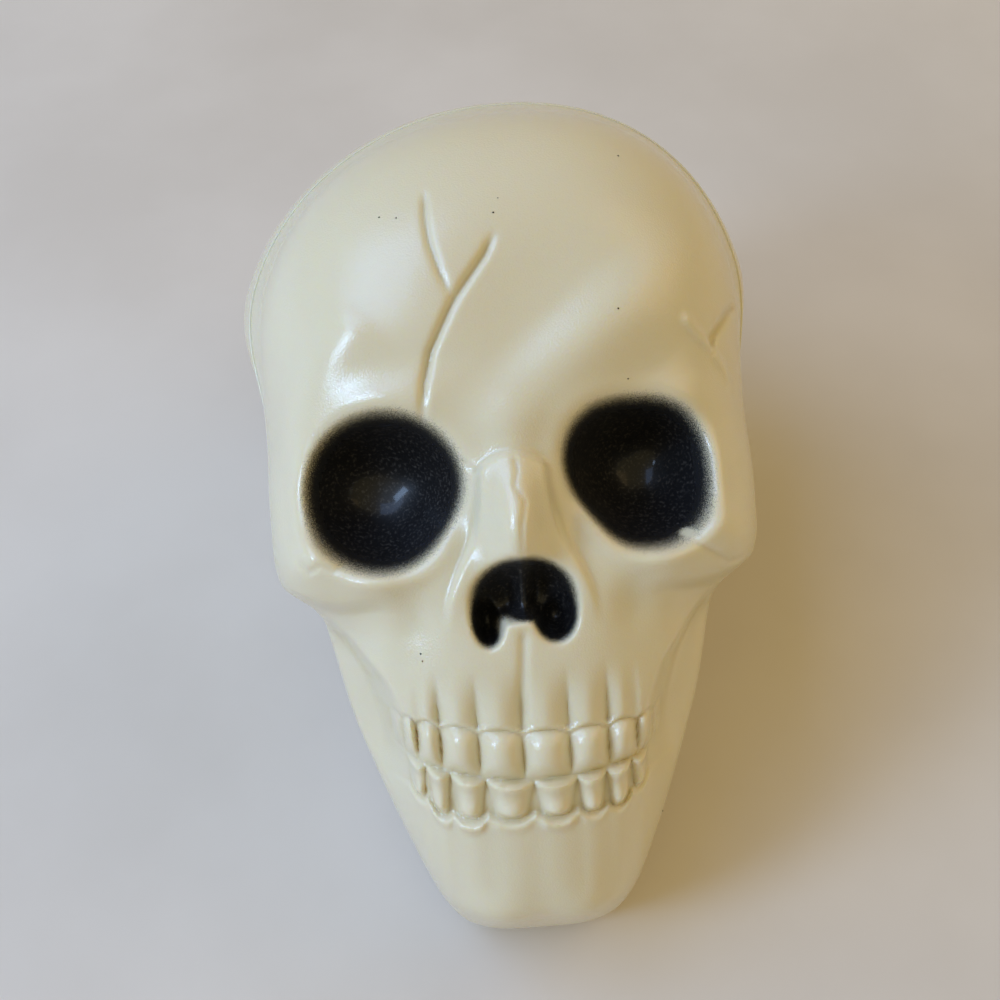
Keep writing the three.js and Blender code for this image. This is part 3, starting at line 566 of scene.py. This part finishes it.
def rim_strip(points, outer, inner):
    """Triangles between two lines of points that run side by side from the chin to the crown."""

    def along(line):
        steps = np.linalg.norm(np.diff(points[line], axis=0), axis=1)
        return np.append(0, np.cumsum(steps)) / steps.sum()

    at_outer, at_inner = along(outer), along(inner)
    faces = []
    i = j = 0
    while i + j < len(outer) + len(inner) - 2:
        if j == len(inner) - 1 or (i < len(outer) - 1 and at_outer[i + 1] <= at_inner[j + 1]):
            faces.append([outer[i], outer[i + 1], inner[j]])
            i += 1
        else:
            faces.append([outer[i], inner[j + 1], inner[j]])
            j += 1
    return faces


# Points closer than WELD become one and slivers are dissolved, in metres. Edges above this angle stay sharp.
WELD = 1e-6
SLIVER = 1e-7
SHARP_ANGLE = np.radians(60)


def set_down(name, mesh):
    """An object in the scene with this mesh, which is shaded smooth but for its sharp edges."""
    mesh.shade_smooth()
    mesh.set_sharp_from_angle(angle=SHARP_ANGLE)
    piece = bpy.data.objects.new(name, mesh)
    bpy.context.scene.collection.objects.link(piece)
    return piece


def half_shell(name, outside, inside, attributes):
    """A closed half shell: an outer skin, an inner one, and the rim between them in the seam's plane."""
    points = np.concatenate([outside.reshape(-1, 3), inside.reshape(-1, 3)])
    outer = np.arange(outside[..., 0].size).reshape(outside.shape[:2])
    inner = outer.size + np.arange(inside[..., 0].size).reshape(inside.shape[:2])
    faces = grid_faces(*outer.shape).tolist() + grid_faces(*inner.shape, start=outer.size)[:, ::-1].tolist()
    for side in (0, -1):
        faces += rim_strip(points, outer[:, side], inner[:, side])
    mesh = bpy.data.meshes.new(name)
    mesh.from_pydata(on_table(points).tolist(), [], faces)
    for key, values in attributes.items():
        layer = mesh.attributes.new(key, "FLOAT", "POINT")
        layer.data.foreach_set("value", np.concatenate([values.ravel(), np.zeros(inner.size)]))
    work = bmesh.new()
    work.from_mesh(mesh)
    bmesh.ops.remove_doubles(work, verts=work.verts, dist=WELD)
    bmesh.ops.dissolve_degenerate(work, edges=work.edges, dist=SLIVER)
    bmesh.ops.recalc_face_normals(work, faces=work.faces)
    work.to_mesh(mesh)
    work.free()
    return set_down(name, mesh)


class Shade:
    """A socket in a tree of nodes. Sums and products of values become Math nodes."""

    def __init__(self, tree, socket=None):
        self.tree = tree
        self.socket = socket

    def feed(self, node, sockets):
        """Fills the node's inputs: a Shade is linked, and a plain value is set."""
        for key, value in sockets.items():
            if isinstance(value, Shade):
                self.tree.links.new(value.socket, node.inputs[key])
            else:
                node.inputs[key].default_value = value

    def make(self, kind, settings, sockets, out=0):
        """The output of a new node with these settings and inputs."""
        node = self.tree.nodes.new(kind)
        for key, value in settings.items():
            setattr(node, key, value)
        self.feed(node, sockets)
        return Shade(self.tree, node.outputs[out])

    def maths(self, operation, a, b):
        return self.make("ShaderNodeMath", {"operation": operation}, {0: a, 1: b})

    def __add__(self, other):
        return self.maths("ADD", self, other)

    __radd__ = __add__

    def __sub__(self, other):
        return self.maths("SUBTRACT", self, other)

    def __mul__(self, other):
        return self.maths("MULTIPLY", self, other)

    def ramp(self, low, high):
        """0 below low, 1 above high, smooth between."""
        span = {"Value": self, "From Min": low, "From Max": high}
        return self.make("ShaderNodeMapRange", {"interpolation_type": "SMOOTHSTEP"}, span)

    def tint(self, low, high):
        """The low colour where the value is 0 and the high one where it is 1."""
        return self.make("ShaderNodeMix", {"data_type": "RGBA"}, {0: self, 6: low, 7: high}, 2)

    def noise(self, scale, detail):
        """Cloudy noise at this place."""
        return self.make("ShaderNodeTexNoise", {}, {"Vector": self, "Scale": scale, "Detail": detail}, "Fac")

    def bump(self, strength, distance):
        """The normal of a skin that this value raises."""
        lifted = {"Strength": strength, "Distance": distance, "Height": self}
        return self.make("ShaderNodeBump", {}, lifted, "Normal")


def material(name):
    """A new material, its tree of nodes, the place on the piece and the main shader."""
    made = bpy.data.materials.new(name)
    made.use_nodes = True
    shade = Shade(made.node_tree)
    place = shade.make("ShaderNodeTexCoord", {}, {}, "Object")
    return made, shade, place, made.node_tree.nodes["Principled BSDF"]


CREAM = (0.78, 0.71, 0.51, 1)
# A darker, yellower cream for painted shade in grooves and gaps, and for random clouds of tone
CREAM_SHADE_AND_TONE = (0.66, 0.56, 0.31, 1)
PAINT_BLACK = (0.006, 0.006, 0.007, 1)
# How much the grain breaks up the edge of the spray. The clouds vary the cream's tone at random, and with the
# painted shade in the hollows they turn it darker over this range.
SPECKLE = 0.9
SPECKLE_EDGE = (0.25, 0.75)
TONE_CLOUDS = 0.35
SHADE_AND_TONE_RANGE = (0.0, 2.2)
PLASTIC_ROUGHNESS = 0.19
CLOUD_ROUGHNESS = 0.1
OVERSPRAY_ROUGHNESS = 0.25
OVERSPRAY_COAT = 0.3

bone, shade, place, shader = material("cream moulded plastic")
cover = shade.make("ShaderNodeAttribute", {"attribute_name": "paint"}, {}, "Fac")
# The hollow attribute is painted shade in grooves and gaps; with random clouds it darkens the cream below
hollow = shade.make("ShaderNodeAttribute", {"attribute_name": "hollow"}, {}, "Fac")
cloud = place.noise(scale=28.0, detail=4.0) - 0.5
grain = place.noise(scale=5600.0, detail=1.0) - 0.5
peel = place.noise(scale=3000.0, detail=2.0)
painted = (cover + grain * SPECKLE).ramp(*SPECKLE_EDGE)
plastic = (hollow + cloud * TONE_CLOUDS).ramp(*SHADE_AND_TONE_RANGE).tint(CREAM, CREAM_SHADE_AND_TONE)
shade.feed(shader, {
    "Base Color": painted.tint(plastic, PAINT_BLACK),
    "Roughness": PLASTIC_ROUGHNESS + cloud * CLOUD_ROUGHNESS + painted * OVERSPRAY_ROUGHNESS,
    "Specular IOR Level": 0.7,
    "Normal": peel.bump(strength=0.16, distance=0.0004),
    "Coat Weight": painted * OVERSPRAY_COAT,
    "Coat Roughness": 0.12,
    "Subsurface Weight": 0.45,
    "Subsurface Radius": (1.0, 0.7, 0.3),
    "Subsurface Scale": 0.002,
})

FACE_ROWS = (25, 207, 105)
FACE_COLUMNS = 250
INSIDE_ROWS = (10, 34, 18)
INSIDE_COLUMNS = 56
face_outside = face_skin(FACE_ROWS, FACE_COLUMNS, 0)
on_face_x, on_face_z = face_outside[..., 0], face_outside[..., 2]
face_cover = paint_cover(on_face_x, on_face_z)
face = half_shell(
    "face_half",
    face_outside,
    face_skin(INSIDE_ROWS, INSIDE_COLUMNS, FACE_WALL),
    # the hollow attribute is painted shade in the grooves and gaps of the face
    {"paint": face_cover, "hollow": crease_shade(-face_outside[..., 1])},
)
face.data.materials.append(bone)
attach(face, "root")
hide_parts("face_shell")


# Back half
# The rear of the same hollow moulding: the round of the cranium, drawn in under the nape towards the throat
# and flattened a little where it lies on the table. Its rim is joined to the face half all round the seam.
BACK_ROWS = (25, 110, 90)
BACK_COLUMNS = 180
BACK_INSIDE_COLUMNS = 40
# The wall is thinner than the chin's back edge, so that the inner skin keeps some depth there
BACK_WALL = 1.8
back = half_shell(
    "back_half",
    back_skin(BACK_ROWS, BACK_COLUMNS, 0),
    back_skin(INSIDE_ROWS, BACK_INSIDE_COLUMNS, BACK_WALL),
    {},
)
back.data.materials.append(bone)
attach(back, "root")
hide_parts("back_shell")


# Seam
# The parting line where the halves were joined: a thin raised bead of the same plastic all round the outline,
# pinched out into a flash under the chin. It is swept along the rim of the face half.
BEAD_RADIUS = 0.32
BEAD_SIDES = 8
BEAD_STEP = 3
FLASH = {"centre": 5, "at": 0, "across": 5, "up": 4, "rise": 1.6}


def grown(piece, tree, **inputs):
    """Runs a tree of geometry nodes on a piece with these inputs and keeps the result as a plain mesh."""
    modifier = piece.modifiers.new(tree.name, "NODES")
    modifier.node_group = tree
    for socket in tree.interface.items_tree:
        if socket.in_out == "INPUT" and socket.name in inputs:
            modifier[socket.identifier] = inputs[socket.name]
    drawn = piece.data
    piece.data = bpy.data.meshes.new_from_object(piece.evaluated_get(bpy.context.evaluated_depsgraph_get()))
    piece.modifiers.clear()
    bpy.data.meshes.remove(drawn)


def nodes_tree(name, **inputs):
    """An empty tree of geometry nodes with a geometry input and these others, each as a Shade."""
    tree = bpy.data.node_groups.new(name, "GeometryNodeTree")
    tree.interface.new_socket("Geometry", in_out="INPUT", socket_type="NodeSocketGeometry")
    for key, kind in inputs.items():
        tree.interface.new_socket(key, in_out="INPUT", socket_type="NodeSocket" + kind)
    tree.interface.new_socket("Geometry", in_out="OUTPUT", socket_type="NodeSocketGeometry")
    given = tree.nodes.new("NodeGroupInput")
    return tree, Shade(tree), *(Shade(tree, given.outputs[key]) for key in ("Geometry", *inputs))


def end_tree(steps, shape, finish):
    """Ends a tree: smooth faces, plain mesh, one material."""
    shape = steps.make("GeometryNodeSetShadeSmooth", {}, {"Geometry": shape})
    shape = steps.make("GeometryNodeRealizeInstances", {}, {"Geometry": shape})
    shape = steps.make("GeometryNodeSetMaterial", {}, {"Geometry": shape, "Material": finish})
    end = steps.tree.nodes.new("NodeGroupOutput")
    steps.tree.links.new(shape.socket, end.inputs[0])


tree, steps, path, radius, finish = nodes_tree("seam bead", radius="Float", finish="Material")
line = steps.make("GeometryNodeMeshToCurve", {}, {"Mesh": path})
ring = steps.make("GeometryNodeCurvePrimitiveCircle", {}, {"Resolution": BEAD_SIDES, "Radius": radius})
thick = steps.make("GeometryNodeInputNamedAttribute", {"data_type": "FLOAT"}, {"Name": "thick"})
bead = steps.make("GeometryNodeCurveToMesh", {}, {"Curve": line, "Profile Curve": ring, "Scale": thick})
end_tree(steps, bead, finish)

rim_row = len(CHIN_CLOSING)
rim = np.concatenate([face_outside[rim_row::BEAD_STEP, 0], face_outside[-2:rim_row:-BEAD_STEP, -1]])
mesh = bpy.data.meshes.new("seam_bead")
around = [(i, (i + 1) % len(rim)) for i in range(len(rim))]
mesh.from_pydata(on_table(rim).tolist(), around, [])
thickness = 1 + swelling(rim[:, 0], rim[:, 2], **FLASH)
mesh.attributes.new("thick", "FLOAT", "POINT").data.foreach_set("value", thickness)
seam = bpy.data.objects.new("seam_bead", mesh)
bpy.context.scene.collection.objects.link(seam)
grown(seam, tree, radius=BEAD_RADIUS * MM, finish=bone)
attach(seam, "root")


# Paint coats
# Gloss black paint, sprayed into each eye socket and the nose. Each coat is a thin film over the moulded
# skin, and it ends inside the speckled edge of the spray, which belongs to the material of the face half.
FILM = 0.02
FILM_EDGE = 0.92
PAINT_GREY = (0.05, 0.046, 0.042, 1)
MIST_RANGE = (0.5, 0.8)
PAINT_ROUGHNESS = 0.37
RUNS_ROUGHNESS = 0.16

paint, shade, place, shader = material("sprayed gloss black")
mist = place.noise(scale=1800.0, detail=1.0)
runs = place.noise(scale=160.0, detail=3.0)
shade.feed(shader, {
    "Base Color": mist.ramp(*MIST_RANGE).tint(PAINT_BLACK, PAINT_GREY),
    "Roughness": PAINT_ROUGHNESS + runs * RUNS_ROUGHNESS,
    "Specular IOR Level": 0.3,
    "Normal": runs.bump(strength=0.4, distance=0.0005),
    "Coat Weight": 0.3,
    "Coat Roughness": 0.12,
})


def paint_coat(name, node, inside):
    """A film on both sides of the skin, over the cells of the face where inside is true."""
    cells = grid_faces(*face_outside.shape[:2])
    cells = cells[inside.ravel()[cells].all(1)]
    used, faces = np.unique(cells, return_inverse=True)
    faces = faces.reshape(-1, 4)
    skin = on_table(face_outside.reshape(-1, 3)[used])
    a, b, c, d = np.moveaxis(skin[faces], 1, 0)
    normals = np.zeros_like(skin)
    np.add.at(normals, faces, np.cross(c - a, d - b)[:, None])
    lift_off = normals / np.linalg.norm(normals, axis=1, keepdims=True) * FILM * MM
    under = len(skin)
    edges = np.stack([faces, np.roll(faces, -1, 1)], -1).reshape(-1, 2).tolist()
    shared = {(end, start) for start, end in edges}
    walls = [[end, start, start + under, end + under] for start, end in edges if (start, end) not in shared]
    mesh = bpy.data.meshes.new(name)
    film = np.concatenate([skin + lift_off, skin - lift_off])
    mesh.from_pydata(film.tolist(), [], faces.tolist() + (faces[:, ::-1] + under).tolist() + walls)
    piece = set_down(name, mesh)
    mesh.materials.append(paint)
    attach(piece, "root")
    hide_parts(node)


solid_black = face_cover > FILM_EDGE
near_nose = nose_reach(on_face_x, on_face_z) < 1
paint_coat("right_socket_coat", "right_socket_paint", solid_black & (on_face_x < 0) & ~near_nose)
paint_coat("left_socket_coat", "left_socket_paint", solid_black & (on_face_x > 0) & ~near_nose)
paint_coat("nose_coat", "nose_paint", solid_black & near_nose)


# Flecks
# Specks of black paint and dirt stuck to the face, as small round drops half sunk in the skin. They are
# placed one by one, as points (x, z) on the face, and vary in size.
FLECKS = [(22.4, 143.7), (0.4, 135.2), (-0.6, 132.6), (-19.7, 133.9), (-16.8, 133.3), (-18.1, 60.1),
          (-17.8, 58.9), (24.5, 23), (24.9, 21.8), (18.6, 114.9), (19.8, 103.6)]
FLECK_RADIUS = 0.2
FLECK_LEAST = (0.5, 0.5, 0.5)
FLECK_MOST = (1, 1, 1)
FLECK_SEED = 4

tree, steps, spots, radius, seed, finish = nodes_tree("flecks", radius="Float", seed="Int", finish="Material")
drop = steps.make("GeometryNodeMeshIcoSphere", {}, {"Radius": radius, "Subdivisions": 2})
sizes = {0: FLECK_LEAST, 1: FLECK_MOST, "Seed": seed}
size = steps.make("FunctionNodeRandomValue", {"data_type": "FLOAT_VECTOR"}, sizes)
drops = steps.make("GeometryNodeInstanceOnPoints", {}, {"Points": spots, "Instance": drop, "Scale": size})
end_tree(steps, drops, finish)

nearest = [np.argmin(np.hypot(on_face_x - x, on_face_z - z)) for x, z in FLECKS]
mesh = bpy.data.meshes.new("flecks")
mesh.from_pydata(on_table(face_outside.reshape(-1, 3)[nearest]).tolist(), [], [])
flecks = bpy.data.objects.new("flecks", mesh)
bpy.context.scene.collection.objects.link(flecks)
grown(flecks, tree, radius=FLECK_RADIUS * MM, seed=FLECK_SEED, finish=paint)
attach(flecks, "root")


# Plug
# A push-in plug of the same plastic that closes the moulding hole in the hidden underside. It keeps the
# solid's own shape, sits in the seat of the back half and takes the shell's finish.
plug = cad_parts["base_plug"]
plug.data.materials.clear()
plug.data.materials.append(bone)


# Table and light
# A plain pale table top with a faint mottle. The light is a cool window and a cool sky on the skull's own
# right, a warm and weaker fill on its left, and a warm glow from the room all round.
TABLE_SIZE = 6
TABLE_DARK = (0.66, 0.60, 0.53, 1)
TABLE_PALE = (0.74, 0.68, 0.61, 1)
MOTTLE_RANGE = (0.3, 0.7)
ROOM_COLOUR = (1.0, 0.835, 0.46, 1)
ROOM_STRENGTH = 0.43
LIT_SPOT = Vector((0, 0, 0.05))

floor_material, shade, place, shader = material("pale table")
mottle = place.noise(scale=9.0, detail=5.0).ramp(*MOTTLE_RANGE)
shade.feed(shader, {"Base Color": mottle.tint(TABLE_DARK, TABLE_PALE), "Roughness": 0.6})
bpy.ops.mesh.primitive_plane_add(size=TABLE_SIZE, location=(0, 0, 0))
table_top = bpy.context.object
table_top.name = "table_top"
table_top.data.materials.append(floor_material)


def area_light(name, stand, size, power, colour):
    """A soft rectangle of light that faces the skull."""
    lamp = bpy.data.lights.new(name, "AREA")
    lamp.shape = "RECTANGLE"
    lamp.size, lamp.size_y = size
    lamp.energy = power
    lamp.color = colour
    lit = bpy.data.objects.new(name, lamp)
    lit.location = stand
    lit.rotation_euler = (LIT_SPOT - Vector(stand)).to_track_quat("-Z", "Y").to_euler()
    bpy.context.scene.collection.objects.link(lit)


area_light("window", stand=(-0.85, -0.35, 0.6), size=(0.28, 0.5), power=5.9, colour=(0.44, 0.65, 1.0))
area_light("sky", stand=(-0.64, 0.15, 1.0), size=(0.9, 0.9), power=7.2, colour=(0.33, 0.54, 1.0))
area_light("fill", stand=(0.9, 0.1, 0.7), size=(0.9, 0.9), power=2.0, colour=(1.0, 0.68, 0.32))
world = bpy.data.worlds.new("room")
world.use_nodes = True
background = world.node_tree.nodes["Background"]
Shade(world.node_tree).feed(background, {"Color": ROOM_COLOUR, "Strength": ROOM_STRENGTH})
bpy.context.scene.world = world


# Camera
# It looks straight on to the face half from above, a little from the skull's own right, and is turned
# slightly. Its distance and aim are in the mould's millimetres, and it leans back with the skull.
CAMERA_DISTANCE = 253
AIM_AT = (-2, 0, 85)
YAW = np.radians(1.2)
ROLL = np.radians(-4.2)
FOCAL_LENGTH = 45
SENSOR_WIDTH = 36
optics = bpy.data.cameras.new("camera")
optics.lens = FOCAL_LENGTH
optics.sensor_width = SENSOR_WIDTH
camera = bpy.data.objects.new("camera", optics)
bpy.context.scene.collection.objects.link(camera)
back_axis = np.array([-np.sin(YAW), -np.cos(YAW), 0])
right_axis = np.array([np.cos(YAW), -np.sin(YAW), 0])
up_axis = np.array([0, 0, 1.0])
rolled_right = right_axis * np.cos(ROLL) + up_axis * np.sin(ROLL)
rolled_up = up_axis * np.cos(ROLL) - right_axis * np.sin(ROLL)
pose = np.eye(4)
pose[:3, :3] = turn_down @ np.stack([rolled_right, rolled_up, back_axis], 1)
pose[:3, 3] = on_table(np.array(AIM_AT) + back_axis * CAMERA_DISTANCE)
camera.matrix_world = Matrix(pose.tolist())
bpy.context.scene.camera = camera
bpy.context.scene.view_settings.view_transform = "Standard"
